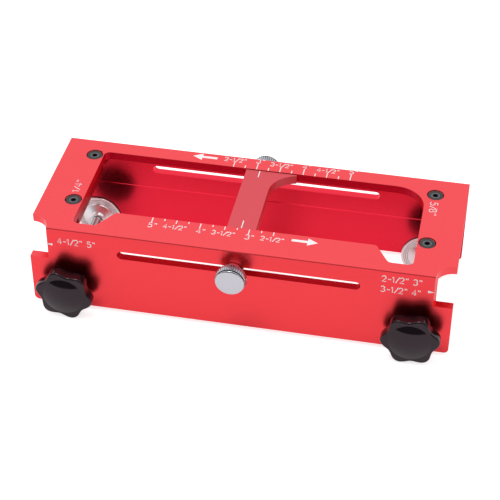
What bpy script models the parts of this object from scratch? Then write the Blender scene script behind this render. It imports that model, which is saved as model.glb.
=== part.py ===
"""Door hinge jig: an aluminium channel that clamps over a door's edge and guides a router.

Metres, +Z up. X runs along the channel, from its middle. Y runs from the clamp screws' side
to the back, from the channel's middle. Z is 0 where the lowest lobe of the clamp knobs ends.
"""
import math

import bmesh
import bpy
from mathutils import Matrix, Vector

MM = 0.001
INCH = 0.0254

# Channel: one extrusion, open at both ends and below
LENGTH = 220 * MM
WIDTH = 81 * MM
HEIGHT = 49 * MM
PLATE = 4.5 * MM
WALL = 4.5 * MM
EDGE_CHAMFER = 0.4 * MM
INNER_FILLET = 0.8 * MM
FOOT_RADIUS = 2.5 * MM
LAND_PROUD = 0.3 * MM
LAND_TOP_DEPTH = 24.2 * MM
LAND_BOTTOM_DEPTH = 44 * MM

# Router window in the plate, measured from the channel's ends and front face
WINDOW_MARGIN = 22 * MM
WINDOW_FRONT = 19.5 * MM
WINDOW_BACK_RAIL = 9.7 * MM
POCKET_FRONT = 7.2 * MM
POCKET_FLOOR = 12.5 * MM
POCKET_MOUTH = 20 * MM
WINDOW_CORNER_RADIUS = 3.2 * MM
LARGE_CORNER_RADIUS = 5 / 8 * INCH
POCKET_RADIUS = 3 * MM
SLANT_RADIUS = 2 * MM

# Slots for the thumb screws, the same in both walls
SLOT_LENGTH = 126 * MM
SLOT_WIDTH = 4.8 * MM
SLOT_DEPTH = 12 * MM

# Depth-setting notches at the two front corners
NOTCH_RADIUS = 10 * MM
DOOR_EDGE_DEPTH = 16.2 * MM
THICK_LEAF = 3.5 * MM
THIN_LEAF = 2.6 * MM

# Door stops under the plate, and their countersunk screws
STOP_SETBACK = 1.9 * MM
STOP_WIDTH = 8 * MM
STOP_CHAMFER = 2.6 * MM
STOP_PAST_SCREW = 3.45 * MM
SCREW_FROM_END = 17 * MM
SCREW_FROM_FRONT = 26.4 * MM
SCREW_FROM_BACK = 13.5 * MM
SCREW_RADIUS = 2 * MM
SCREW_LENGTH = 12 * MM
SCREW_HEAD_RADIUS = 4 * MM
SCREW_HEAD_RIM = 0.3 * MM
SCREW_SUNK = 0.35 * MM
SCREW_SOCKET_FLATS = 2.5 * MM
SCREW_SOCKET_DEPTH = 1.6 * MM
BLIND_END = 1 * MM

# Sliding stop, which sets the hinge's length
SLIDE_X = -1.75 * MM
SLIDE_WIDTH = 15 * MM
SLIDE_THICKNESS = 5 * MM
SLIDE_SUNK = 0.3 * MM
SLIDE_PLAY = 0.4 * MM
TOE_REACH = 12.5 * MM
TOE_THICKNESS = 1 * MM
WEB_WIDTH = 8 * MM

# Knurled thumb screws that lock the sliding stop
THUMB_RADIUS = 8 * MM
THUMB_REACH = 11 * MM
THUMB_COLLAR_RADIUS = 5 * MM
THUMB_COLLAR = 4.5 * MM
THUMB_FACE_RADIUS = 7.2 * MM
THUMB_FACE = 0.8 * MM
THUMB_GROOVE_RADIUS = 6.4 * MM
THUMB_GROOVE = 0.5 * MM
THUMB_CHAMFER = 0.4 * MM
THUMB_SHANK_RADIUS = 2 * MM
THUMB_ENGAGED = 9 * MM

# Clamp screws: star knob, threaded stud and swivel pad on one axis
CLAMP_FROM_END = 19.3 * MM
CLAMP_DEPTH = 36.5 * MM
STUD_RADIUS = 3 * MM
STUD_IN_KNOB = 5 * MM
STUD_NECK_RADIUS = 1.9 * MM
STUD_BALL_RADIUS = 2.6 * MM
STUD_BALL_LENGTH = 1.8 * MM
KNOB_LOBES = 6
KNOB_SEGMENTS = 72
KNOB_TIP_RADIUS = 15.3 * MM
KNOB_VALLEY_RADIUS = 12.8 * MM
KNOB_GAP = 1.5 * MM
KNOB_HUB_RADIUS = 6.5 * MM
KNOB_HUB = 2.2 * MM
KNOB_THICKNESS = 6.1 * MM
KNOB_DOME_RADIUS = 11 * MM
KNOB_DOME = 2.4 * MM
KNOB_LOBE_FALL = 0.06
KNOB_EDGE = 0.9 * MM
LEFT_KNOB_TURN = math.radians(-12.3)
RIGHT_KNOB_TURN = math.radians(6)
PAD_RADIUS = 12.7 * MM
PAD_RIM = 0.7 * MM
PAD_STEP_RADIUS = 8.4 * MM
PAD_STEP = 0.6 * MM
PAD_CONE = 1.2 * MM
PAD_HUB_RADIUS = 4.6 * MM
PAD_HUB = 3.8 * MM
PAD_MOUTH = 1.2 * MM
PAD_RUBBER = 1 * MM
PAD_FACE_FROM_FRONT = 61.8 * MM

# Clearance between touching pieces, and round a screw in its hole
GAP = 0.3 * MM
HOLE_PLAY = 0.25 * MM
OVERRUN = 5 * MM
ARC_STEP = math.radians(9)


def knob_radius(angle):
    """The star knob's outline at an angle from one of its lobes."""
    middle = (KNOB_TIP_RADIUS + KNOB_VALLEY_RADIUS) / 2
    swing = (KNOB_TIP_RADIUS - KNOB_VALLEY_RADIUS) / 2
    return middle + swing * math.cos(KNOB_LOBES * angle)


def knob_reach_down(turn):
    """How far the lowest lobe of a knob, turned this much, reaches below its axis."""
    angles = [2 * math.pi * i / KNOB_SEGMENTS for i in range(KNOB_SEGMENTS)]
    return max(-knob_radius(angle - turn) * math.sin(angle) for angle in angles)


# Places that the sizes give
FRONT = -WIDTH / 2
BACK = WIDTH / 2
INNER_FRONT = FRONT + WALL
INNER_BACK = BACK - WALL
KNOB_DROP = max(knob_reach_down(LEFT_KNOB_TURN), knob_reach_down(RIGHT_KNOB_TURN))
TOP = max(CLAMP_DEPTH + KNOB_DROP, HEIGHT)
BOTTOM = TOP - HEIGHT
UNDERSIDE = TOP - PLATE
DOOR_EDGE = TOP - DOOR_EDGE_DEPTH
SLOT_Z = TOP - SLOT_DEPTH
CLAMP_Z = TOP - CLAMP_DEPTH
CLAMP_X = LENGTH / 2 - CLAMP_FROM_END
WINDOW_END = LENGTH / 2 - WINDOW_MARGIN
WINDOW_Y0 = FRONT + WINDOW_FRONT
WINDOW_Y1 = BACK - WINDOW_BACK_RAIL
POCKET_Y = FRONT + POCKET_FRONT
SCREW_FRONT = FRONT + SCREW_FROM_FRONT
SCREW_BACK = BACK - SCREW_FROM_BACK
PAD_BACK = FRONT + PAD_FACE_FROM_FRONT - PAD_RUBBER - GAP
STUD_END = PAD_BACK - PAD_RIM - PAD_HUB - GAP


def clear_scene():
    for thing in list(bpy.data.objects):
        bpy.data.objects.remove(thing, do_unlink=True)


def new_collection(name):
    collection = bpy.data.collections.new(name)
    bpy.context.scene.collection.children.link(collection)
    return collection


def material(name, colour, roughness, metallic):
    made = bpy.data.materials.new(name)
    made.use_nodes = True
    shader = made.node_tree.nodes["Principled BSDF"]
    shader.inputs["Base Color"].default_value = (*colour, 1)
    shader.inputs["Roughness"].default_value = roughness
    shader.inputs["Metallic"].default_value = metallic
    made.diffuse_color = (*colour, 1)
    return made


def add_object(name, mesh, collection, finish=None):
    made = bpy.data.objects.new(name, mesh)
    collection.objects.link(made)
    if finish:
        mesh.materials.clear()
        mesh.materials.append(finish)
    return made


def smooth(thing, degrees=32):
    thing.data.shade_smooth()
    thing.data.set_sharp_from_angle(angle=math.radians(degrees))


def evaluated_mesh(thing, name):
    """The object's mesh with its modifiers done, and the object removed."""
    bpy.context.view_layer.update()
    graph = bpy.context.evaluated_depsgraph_get()
    mesh = bpy.data.meshes.new_from_object(thing.evaluated_get(graph))
    mesh.name = name
    work = bmesh.new()
    work.from_mesh(mesh)
    bmesh.ops.remove_doubles(work, verts=work.verts, dist=1e-6)
    work.to_mesh(mesh)
    work.free()
    bpy.data.objects.remove(thing, do_unlink=True)
    return mesh


def as_cutter(thing):
    thing.hide_render = True
    thing.display_type = "WIRE"
    return thing


def boolean(thing, other, operation="DIFFERENCE"):
    cut = thing.modifiers.new(f"{operation.lower()} {other.name}", "BOOLEAN")
    cut.operation = operation
    cut.solver = "EXACT"
    cut.object = other


def rounded(corners):
    """A closed outline from corners (x, y, radius), each radius as an arc of short steps."""
    points = []
    for i, (x, y, radius) in enumerate(corners):
        here = Vector((x, y))
        before = (Vector(corners[i - 1][:2]) - here).normalized()
        after = (Vector(corners[(i + 1) % len(corners)][:2]) - here).normalized()
        if radius <= 0:
            points.append(here)
            continue
        half = before.angle(after) / 2
        centre = here + (before + after).normalized() * radius / math.sin(half)
        start = here + before * radius / math.tan(half) - centre
        end = here + after * radius / math.tan(half) - centre
        sweep = start.angle_signed(end)
        steps = max(2, math.ceil(abs(sweep) / ARC_STEP))
        for step in range(steps + 1):
            points.append(centre + Matrix.Rotation(-sweep * step / steps, 2) @ start)
    return points


def extruded(name, outline, thickness, placed):
    """A flat outline in the curve's own XY plane, thickened about it and put at `placed`."""
    curve = bpy.data.curves.new(name, "CURVE")
    curve.dimensions = "2D"
    curve.fill_mode = "BOTH"
    curve.extrude = thickness / 2
    spline = curve.splines.new("POLY")
    spline.points.add(len(outline) - 1)
    for point, place in zip(spline.points, outline):
        point.co = (place[0], place[1], 0, 1)
    spline.use_cyclic_u = True
    guide = bpy.data.objects.new(name, curve)
    bpy.context.scene.collection.objects.link(guide)
    mesh = evaluated_mesh(guide, name)
    bpy.data.curves.remove(curve)
    mesh.transform(placed)
    return mesh


def box(name, low, high):
    work = bmesh.new()
    size = Vector(high) - Vector(low)
    middle = (Vector(high) + Vector(low)) / 2
    bmesh.ops.create_cube(work, size=1, matrix=Matrix.Translation(middle) @ Matrix.Diagonal((*size, 1)))
    mesh = bpy.data.meshes.new(name)
    work.to_mesh(mesh)
    work.free()
    return mesh


def cylinder(name, radius, length, segments=32):
    """A cylinder along Z, from 0 to its length."""
    work = bmesh.new()
    bmesh.ops.create_cone(
        work, cap_ends=True, segments=segments, radius1=radius, radius2=radius, depth=length,
        matrix=Matrix.Translation((0, 0, length / 2)),
    )
    mesh = bpy.data.meshes.new(name)
    work.to_mesh(mesh)
    work.free()
    return mesh


def turned(name, profile, collection, segments=40):
    """A profile of (radius, height) pairs, from top to bottom, turned about Z."""
    mesh = bpy.data.meshes.new(name)
    points = [(radius, 0, height) for radius, height in profile]
    mesh.from_pydata(points, [(i, i + 1) for i in range(len(points) - 1)], [])
    made = add_object(name, mesh, collection)
    screw = made.modifiers.new("turn", "SCREW")
    screw.axis = "Z"
    screw.steps = segments
    screw.render_steps = segments
    screw.use_merge_vertices = True
    screw.merge_threshold = 1e-5
    return made


def place(thing, location, out=(0, 0, 1)):
    """Puts a turned piece at a place, with its +Z axis pointing out."""
    turn = Vector((0, 0, 1)).rotation_difference(Vector(out))
    thing.rotation_euler = turn.to_euler()
    thing.location = location
    return thing


# Channel

ACROSS = Matrix(((0, 0, 1, 0), (1, 0, 0, 0), (0, 1, 0, 0), (0, 0, 0, 1)))
FROM_FRONT = Matrix(((1, 0, 0, 0), (0, 0, -1, 0), (0, 1, 0, 0), (0, 0, 0, 1)))


def channel_section():
    """The extrusion's section in (y, z): a plate on two walls, each with a low land inside."""
    land_top = TOP - LAND_TOP_DEPTH
    land_bottom = TOP - LAND_BOTTOM_DEPTH
    half = [
        (0, TOP, 0),
        (BACK - EDGE_CHAMFER, TOP, 0),
        (BACK, TOP - EDGE_CHAMFER, 0),
        (BACK, BOTTOM, 0),
        (INNER_BACK, BOTTOM, 0),
        (INNER_BACK, land_bottom, 0),
        (INNER_BACK - LAND_PROUD, land_bottom + LAND_PROUD, 0),
        (INNER_BACK - LAND_PROUD, land_top, 0),
        (INNER_BACK, land_top, 0),
        (INNER_BACK, UNDERSIDE, INNER_FILLET),
        (0, UNDERSIDE, 0),
    ]
    other = [(-y, z, radius) for y, z, radius in reversed(half[1:-1])]
    return rounded(half + other)


def side_outline():
    """The channel seen from the front, with the walls' lower corners rounded."""
    end = LENGTH / 2
    above = TOP + OVERRUN
    return rounded([
        (-end, above, 0), (-end, BOTTOM, FOOT_RADIUS), (end, BOTTOM, FOOT_RADIUS), (end, above, 0),
    ])


def window_outline():
    """The router window: square pockets at the front ends, and one large corner at the back."""
    foot = WINDOW_END - POCKET_FLOOR
    mouth = WINDOW_END - POCKET_MOUTH
    return rounded([
        (-WINDOW_END, WINDOW_Y1, WINDOW_CORNER_RADIUS),
        (-WINDOW_END, POCKET_Y, POCKET_RADIUS),
        (-foot, POCKET_Y, POCKET_RADIUS),
        (-mouth, WINDOW_Y0, SLANT_RADIUS),
        (mouth, WINDOW_Y0, SLANT_RADIUS),
        (foot, POCKET_Y, POCKET_RADIUS),
        (WINDOW_END, POCKET_Y, POCKET_RADIUS),
        (WINDOW_END, WINDOW_Y1, LARGE_CORNER_RADIUS),
    ])


def slot_outline():
    end = SLOT_LENGTH / 2
    low = SLOT_Z - SLOT_WIDTH / 2
    high = SLOT_Z + SLOT_WIDTH / 2
    radius = SLOT_WIDTH / 2 * 0.999
    return rounded([(-end, high, radius), (-end, low, radius), (end, low, radius), (end, high, radius)])


def screw_places():
    """Where the four countersunk screws stand, with their number."""
    x = LENGTH / 2 - SCREW_FROM_END
    places = [(-x, SCREW_FRONT), (-x, SCREW_BACK), (x, SCREW_FRONT), (x, SCREW_BACK)]
    return list(enumerate(places, start=1))


def make_channel(parts, cutters, finish):
    section = extruded("channel_body", channel_section(), LENGTH + 2 * OVERRUN, ACROSS)
    channel = add_object("channel_body", section, parts, finish)
    across = WIDTH + 2 * OVERRUN
    side_shape = extruded("side_shape", side_outline(), across, FROM_FRONT)
    boolean(channel, as_cutter(add_object("side_shape", side_shape, cutters)), "INTERSECT")
    over_plate = Matrix.Translation((0, 0, TOP - PLATE / 2))
    cuts = [
        extruded("window_cut", window_outline(), PLATE + 2 * OVERRUN, over_plate),
        extruded("slot_cut", slot_outline(), across, FROM_FRONT),
    ]
    for mesh in cuts:
        boolean(channel, as_cutter(add_object(mesh.name, mesh, cutters)))
    for side, leaf in ((-1, THICK_LEAF), (1, THIN_LEAF)):
        floor = DOOR_EDGE - leaf
        notch_mesh = cylinder("notch_cut", NOTCH_RADIUS, TOP - floor + OVERRUN, 60)
        notch = add_object(f"notch_cut_{side}", notch_mesh, cutters)
        notch.location = (side * LENGTH / 2, FRONT, floor)
        boolean(channel, as_cutter(notch))
        hole_mesh = cylinder("clamp_hole", STUD_RADIUS + GAP, WALL + 2 * OVERRUN, 28)
        hole = add_object(f"clamp_hole_{side}", hole_mesh, cutters)
        place(hole, (side * CLAMP_X, INNER_FRONT + OVERRUN, CLAMP_Z), (0, -1, 0))
        boolean(channel, as_cutter(hole))
    for number, (x, y) in screw_places():
        boolean(channel, as_cutter(screw_hole(f"countersink_{number}", x, y, cutters)))
    smooth(channel)
    return channel


# Door stops and their screws

def screw_hole(name, x, y, cutters):
    """A countersink and its tapped hole, with play round the screw."""
    head = SCREW_HEAD_RADIUS + HOLE_PLAY + SCREW_SUNK / 2
    shank = SCREW_RADIUS + HOLE_PLAY
    rim = -SCREW_SUNK - SCREW_HEAD_RIM
    profile = [
        (0, OVERRUN), (head, OVERRUN), (head, rim), (shank, rim - head + shank),
        (shank, -SCREW_LENGTH - BLIND_END), (0, -SCREW_LENGTH - BLIND_END),
    ]
    return place(turned(name, profile, cutters, 28), (x, y, TOP))


def make_stop_screws(parts, cutters, finish):
    """Countersunk socket screws, which share one mesh."""
    rim = -SCREW_SUNK - SCREW_HEAD_RIM
    cone_end = rim - SCREW_HEAD_RADIUS + SCREW_RADIUS
    profile = [
        (0, -SCREW_SUNK), (SCREW_HEAD_RADIUS, -SCREW_SUNK), (SCREW_HEAD_RADIUS, rim),
        (SCREW_RADIUS, cone_end), (SCREW_RADIUS, -SCREW_LENGTH + 0.2 * SCREW_RADIUS),
        (0.8 * SCREW_RADIUS, -SCREW_LENGTH), (0, -SCREW_LENGTH),
    ]
    blank = turned("screw_blank", profile, cutters, 28)
    corner_radius = SCREW_SOCKET_FLATS / 2 / math.cos(math.pi / 6)
    socket_mesh = cylinder("socket_cut", corner_radius, SCREW_SOCKET_DEPTH + OVERRUN, 6)
    socket = add_object("socket_cut", socket_mesh, cutters)
    socket.location = (0, 0, -SCREW_SUNK - SCREW_SOCKET_DEPTH)
    boolean(blank, as_cutter(socket))
    mesh = evaluated_mesh(blank, "stop_screw")
    for number, (x, y) in screw_places():
        screw = add_object(f"stop_screw_{number}", mesh, parts, finish)
        screw.location = (x, y, TOP)
        smooth(screw)


def stop_outline(side):
    """A stop seen from the front, chamfered where the router's chips fall past it."""
    inner = WINDOW_END + STOP_SETBACK
    outer = inner + STOP_WIDTH
    top = UNDERSIDE - GAP
    edge = EDGE_CHAMFER
    right = [
        (inner, top - edge, 0), (inner, DOOR_EDGE + STOP_CHAMFER, 0), (inner + STOP_CHAMFER, DOOR_EDGE, 0),
        (outer - edge, DOOR_EDGE, 0), (outer, DOOR_EDGE + edge, 0), (outer, top - edge, 0),
        (outer - edge, top, 0), (inner + edge, top, 0),
    ]
    return rounded(right if side > 0 else [(-x, z, radius) for x, z, radius in reversed(right)])


def make_door_stops(parts, cutters, finish):
    """Bars screwed up under the plate, whose lower faces rest on the door's edge."""
    length = SCREW_BACK - SCREW_FRONT + 2 * STOP_PAST_SCREW
    placed = Matrix.Translation((0, (SCREW_FRONT + SCREW_BACK) / 2, 0)) @ FROM_FRONT
    for side, name in ((-1, "door_stop_left"), (1, "door_stop_right")):
        stop = add_object(name, extruded(name, stop_outline(side), length, placed), parts, finish)
        for number, (x, y) in screw_places():
            if x * side > 0:
                boolean(stop, as_cutter(screw_hole(f"stop_hole_{number}", x, y, cutters)))
        smooth(stop)


# Sliding stop and its thumb screws

def slide_outline():
    """The stop's plate, whose right side runs out to the back in the large corner's radius."""
    left = -SLIDE_WIDTH / 2
    right = SLIDE_WIDTH / 2
    front = WINDOW_Y0 + SLIDE_PLAY
    back = WINDOW_Y1 - SLIDE_PLAY
    centre_x = right + LARGE_CORNER_RADIUS
    toe = math.acos((LARGE_CORNER_RADIUS - TOE_REACH) / LARGE_CORNER_RADIUS)
    centre_y = back - TOE_THICKNESS - LARGE_CORNER_RADIUS * math.sin(toe)
    steps = math.ceil(toe / ARC_STEP)
    arc = []
    for step in range(steps + 1):
        angle = math.pi - toe * step / steps
        x = centre_x + LARGE_CORNER_RADIUS * math.cos(angle)
        y = centre_y + LARGE_CORNER_RADIUS * math.sin(angle)
        arc.append((x, y))
    return [(left, front), (right, front), *arc, (right + TOE_REACH, back), (left, back)]


def make_sliding_stop(parts, cutters, finish):
    """The stop's plate in the window, on a web that spans the channel and takes both screws."""
    height = TOP - SLIDE_SUNK - SLIDE_THICKNESS / 2 - SLOT_Z
    plate = extruded("sliding_stop", slide_outline(), SLIDE_THICKNESS, Matrix.Translation((0, 0, height)))
    stop = add_object("sliding_stop", plate, parts, finish)
    stop.location = (SLIDE_X, 0, SLOT_Z)
    low = (SLIDE_X - WEB_WIDTH / 2, INNER_FRONT + GAP, DOOR_EDGE + GAP)
    high = (SLIDE_X + WEB_WIDTH / 2, INNER_BACK - GAP, UNDERSIDE - GAP)
    web = as_cutter(add_object("slide_web", box("slide_web", low, high), cutters))
    edges = web.modifiers.new("edges", "BEVEL")
    edges.width = EDGE_CHAMFER
    edges.segments = 1
    boolean(stop, web, "UNION")
    depth = THUMB_ENGAGED + BLIND_END
    for side in (-1, 1):
        hole_mesh = cylinder("slide_hole", THUMB_SHANK_RADIUS + GAP, depth + OVERRUN, 24)
        hole = add_object(f"slide_hole_{side}", hole_mesh, cutters)
        place(hole, (SLIDE_X, side * (INNER_BACK - GAP - depth), SLOT_Z), (0, side, 0))
        boolean(stop, as_cutter(hole))
    smooth(stop)


def make_thumb_screws(parts, finish):
    """Knurled screws with a raised face, a groove round it and a long collar, in both slots."""
    face = THUMB_FACE_RADIUS
    groove = THUMB_REACH - THUMB_FACE
    front = groove - THUMB_GROOVE
    collar = GAP + THUMB_COLLAR
    tip = -(WALL + GAP + THUMB_ENGAGED)
    profile = [
        (0, THUMB_REACH), (face - 0.5 * THUMB_CHAMFER, THUMB_REACH),
        (face, THUMB_REACH - 0.5 * THUMB_CHAMFER), (face, groove),
        (THUMB_GROOVE_RADIUS, groove), (THUMB_GROOVE_RADIUS, front),
        (THUMB_RADIUS - THUMB_CHAMFER, front), (THUMB_RADIUS, front - THUMB_CHAMFER),
        (THUMB_RADIUS, collar + THUMB_CHAMFER), (THUMB_RADIUS - THUMB_CHAMFER, collar),
        (THUMB_COLLAR_RADIUS, collar), (THUMB_COLLAR_RADIUS, GAP), (THUMB_SHANK_RADIUS, GAP),
        (THUMB_SHANK_RADIUS, tip + 0.4 * MM), (THUMB_SHANK_RADIUS - 0.4 * MM, tip), (0, tip),
    ]
    for side, name in ((-1, "thumb_screw_front"), (1, "thumb_screw_back")):
        screw = turned(name, profile, parts, 48)
        screw.data.materials.append(finish)
        place(screw, (SLIDE_X, side * WIDTH / 2, SLOT_Z), (0, side, 0))
        smooth(screw)


# Clamp screws

def knob_face(radius):
    """How far the knob's face stands over the dome's foot at a radius: the lobes fall away outside it."""
    if radius > KNOB_DOME_RADIUS:
        return -KNOB_LOBE_FALL * (radius - KNOB_DOME_RADIUS)
    bend = (KNOB_DOME_RADIUS ** 2 + KNOB_DOME ** 2) / (2 * KNOB_DOME)
    return KNOB_DOME - bend + math.sqrt(bend ** 2 - radius ** 2)


def lofted(name, stations, collection, segments, lobed_turn):
    """Rings along Z at (height, size, lobe share, face share), closed at both ends.

    A lobe share of 1 keeps the star outline, and 0 is a circle. A face share of 1 lets a ring
    follow the knob's domed face, and 0 keeps it level.
    """
    work = bmesh.new()
    rings = []
    for height, size, lobe, face in stations:
        ring = []
        for i in range(segments):
            angle = 2 * math.pi * i / segments
            radius = size * (lobe * knob_radius(angle - lobed_turn) / KNOB_TIP_RADIUS + 1 - lobe)
            z = height + face * knob_face(radius)
            ring.append(work.verts.new((radius * math.cos(angle), radius * math.sin(angle), z)))
        rings.append(ring)
    for lower, upper in zip(rings, rings[1:]):
        for i in range(segments):
            j = (i + 1) % segments
            work.faces.new((lower[i], lower[j], upper[j], upper[i]))
    work.faces.new(list(reversed(rings[0])))
    work.faces.new(rings[-1])
    bmesh.ops.recalc_face_normals(work, faces=work.faces)
    mesh = bpy.data.meshes.new(name)
    work.to_mesh(mesh)
    work.free()
    return add_object(name, mesh, collection)


def knob_stations():
    """The knob from its hub at the wall to the top of its domed face."""
    back = KNOB_GAP + KNOB_HUB
    foot = back + KNOB_THICKNESS
    size = KNOB_TIP_RADIUS
    stations = [
        (KNOB_GAP, KNOB_HUB_RADIUS, 0, 0),
        (back, KNOB_HUB_RADIUS, 0, 0),
        (back, size - KNOB_EDGE, 1, 0),
        (back + 0.3 * KNOB_EDGE, size - 0.3 * KNOB_EDGE, 1, 0),
        (back + KNOB_EDGE, size, 1, 0),
    ]
    for step in range(3):
        angle = math.pi / 2 * step / 2
        reach = size - KNOB_EDGE + KNOB_EDGE * math.cos(angle)
        stations.append((foot - KNOB_EDGE + KNOB_EDGE * math.sin(angle), reach, 1, 1))
    for share in (1, 0.77, 0.5, 0.2):
        stations.append((foot, share * KNOB_DOME_RADIUS, 0, 1))
    return stations


def stud_profile():
    """The stud from its end in the knob to the ball that holds the pad, downwards from the front face."""
    end = FRONT - STUD_END
    neck_end = end - GAP - PAD_MOUTH - GAP
    ball = STUD_BALL_RADIUS
    return [
        (0, KNOB_GAP + STUD_IN_KNOB), (STUD_RADIUS, KNOB_GAP + STUD_IN_KNOB),
        (STUD_RADIUS, end + 0.4 * MM), (STUD_RADIUS - 0.4 * MM, end), (STUD_NECK_RADIUS, end),
        (STUD_NECK_RADIUS, neck_end), (ball, neck_end - 0.5 * MM), (ball, neck_end - 1.2 * MM),
        (0.6 * ball, neck_end - STUD_BALL_LENGTH + 0.3 * MM), (0, neck_end - STUD_BALL_LENGTH),
    ]


def pad_profile():
    """The metal pad from the bottom of its socket, over the hub, cone and rim, to its flat back."""
    hub = PAD_RIM + PAD_HUB
    step = PAD_RIM + PAD_STEP
    cone = step + PAD_CONE
    chamber = STUD_BALL_RADIUS + GAP
    mouth = STUD_NECK_RADIUS + GAP
    socket_end = hub - PAD_MOUTH - GAP - STUD_BALL_LENGTH - GAP
    return [
        (0, socket_end), (chamber, socket_end), (chamber, hub - PAD_MOUTH),
        (mouth, hub - PAD_MOUTH), (mouth, hub),
        (PAD_HUB_RADIUS - 0.3 * MM, hub), (PAD_HUB_RADIUS, hub - 0.3 * MM), (PAD_HUB_RADIUS, cone),
        (PAD_STEP_RADIUS - 0.3 * MM, step), (PAD_STEP_RADIUS, step - 0.3 * MM), (PAD_STEP_RADIUS, PAD_RIM),
        (PAD_RADIUS - 0.2 * MM, PAD_RIM), (PAD_RADIUS, PAD_RIM - 0.2 * MM), (PAD_RADIUS, 0.2 * MM),
        (PAD_RADIUS - 0.2 * MM, 0), (0, 0),
    ]


def rubber_profile():
    """The rubber face behind the metal pad, from the side on the metal to the one that meets the door."""
    return [
        (0, PAD_RUBBER), (PAD_RADIUS, PAD_RUBBER), (PAD_RADIUS, 0.3 * MM),
        (PAD_RADIUS - 0.3 * MM, 0), (0, 0),
    ]


def make_clamp(side, name, turn, parts, cutters, finishes):
    x = side * CLAMP_X
    knob = lofted(f"clamp_knob_{name}", knob_stations(), parts, KNOB_SEGMENTS, turn)
    knob.data.materials.append(finishes["knob"])
    place(knob, (x, FRONT, CLAMP_Z), (0, -1, 0))
    hole_mesh = cylinder("knob_hole", STUD_RADIUS + GAP, STUD_IN_KNOB + GAP + OVERRUN, 28)
    hole = add_object(f"knob_hole_{name}", hole_mesh, cutters)
    place(hole, (x, FRONT - KNOB_GAP + OVERRUN, CLAMP_Z), (0, -1, 0))
    boolean(knob, as_cutter(hole))
    smooth(knob)
    stud = turned(f"clamp_stud_{name}", stud_profile(), parts, 28)
    stud.data.materials.append(finishes["stud"])
    place(stud, (x, FRONT, CLAMP_Z), (0, -1, 0))
    smooth(stud)
    pad = turned(f"clamp_pad_{name}", pad_profile(), parts, 48)
    pad.data.materials.append(finishes["pad"])
    place(pad, (x, PAD_BACK, CLAMP_Z), (0, -1, 0))
    smooth(pad)
    rubber = turned(f"clamp_rubber_{name}", rubber_profile(), parts, 48)
    rubber.data.materials.append(finishes["rubber"])
    place(rubber, (x, FRONT + PAD_FACE_FROM_FRONT, CLAMP_Z), (0, -1, 0))
    smooth(rubber)


def main():
    clear_scene()
    parts = new_collection("door_hinge_jig")
    cutters = new_collection("cutters")
    cutters.hide_render = True
    red = material("red_anodised", (0.72, 0.02, 0.035), 0.38, 0.85)
    black_steel = material("black_oxide", (0.04, 0.038, 0.042), 0.4, 0.7)
    nickel = material("bright_nickel", (0.75, 0.76, 0.8), 0.22, 1.0)
    zinc = material("zinc_steel", (0.62, 0.62, 0.64), 0.3, 1.0)
    clamp_finishes = {
        "knob": material("black_plastic", (0.03, 0.028, 0.03), 0.3, 0.0),
        "stud": zinc,
        "pad": zinc,
        "rubber": material("black_rubber", (0.025, 0.025, 0.026), 0.6, 0.0),
    }
    make_channel(parts, cutters, red)
    make_door_stops(parts, cutters, red)
    make_stop_screws(parts, cutters, black_steel)
    make_sliding_stop(parts, cutters, red)
    make_thumb_screws(parts, nickel)
    make_clamp(-1, "left", LEFT_KNOB_TURN, parts, cutters, clamp_finishes)
    make_clamp(1, "right", RIGHT_KNOB_TURN, parts, cutters, clamp_finishes)


main()
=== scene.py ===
import math

import bmesh
import bpy
from mathutils import Matrix, Vector


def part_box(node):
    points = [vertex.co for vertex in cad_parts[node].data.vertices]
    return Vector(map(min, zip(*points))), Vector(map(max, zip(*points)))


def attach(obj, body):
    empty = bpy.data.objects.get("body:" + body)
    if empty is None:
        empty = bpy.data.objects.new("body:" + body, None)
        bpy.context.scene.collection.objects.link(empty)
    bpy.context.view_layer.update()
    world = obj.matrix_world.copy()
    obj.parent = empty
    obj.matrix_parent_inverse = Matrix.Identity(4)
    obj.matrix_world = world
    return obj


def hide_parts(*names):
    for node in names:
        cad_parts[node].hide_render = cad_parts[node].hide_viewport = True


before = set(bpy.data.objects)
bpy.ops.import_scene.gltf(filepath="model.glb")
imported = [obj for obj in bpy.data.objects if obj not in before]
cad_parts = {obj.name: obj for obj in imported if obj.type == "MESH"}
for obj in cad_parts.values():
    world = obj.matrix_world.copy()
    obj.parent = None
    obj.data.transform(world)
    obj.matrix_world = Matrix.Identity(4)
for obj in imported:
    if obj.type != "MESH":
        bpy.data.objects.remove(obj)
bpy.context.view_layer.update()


# Channel: one aluminium extrusion, sawn to length, with its window, slots, notches and holes
# milled, then etched to a satin and dyed red by anodising. The die left a low land inside.
MM = 0.001


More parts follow.
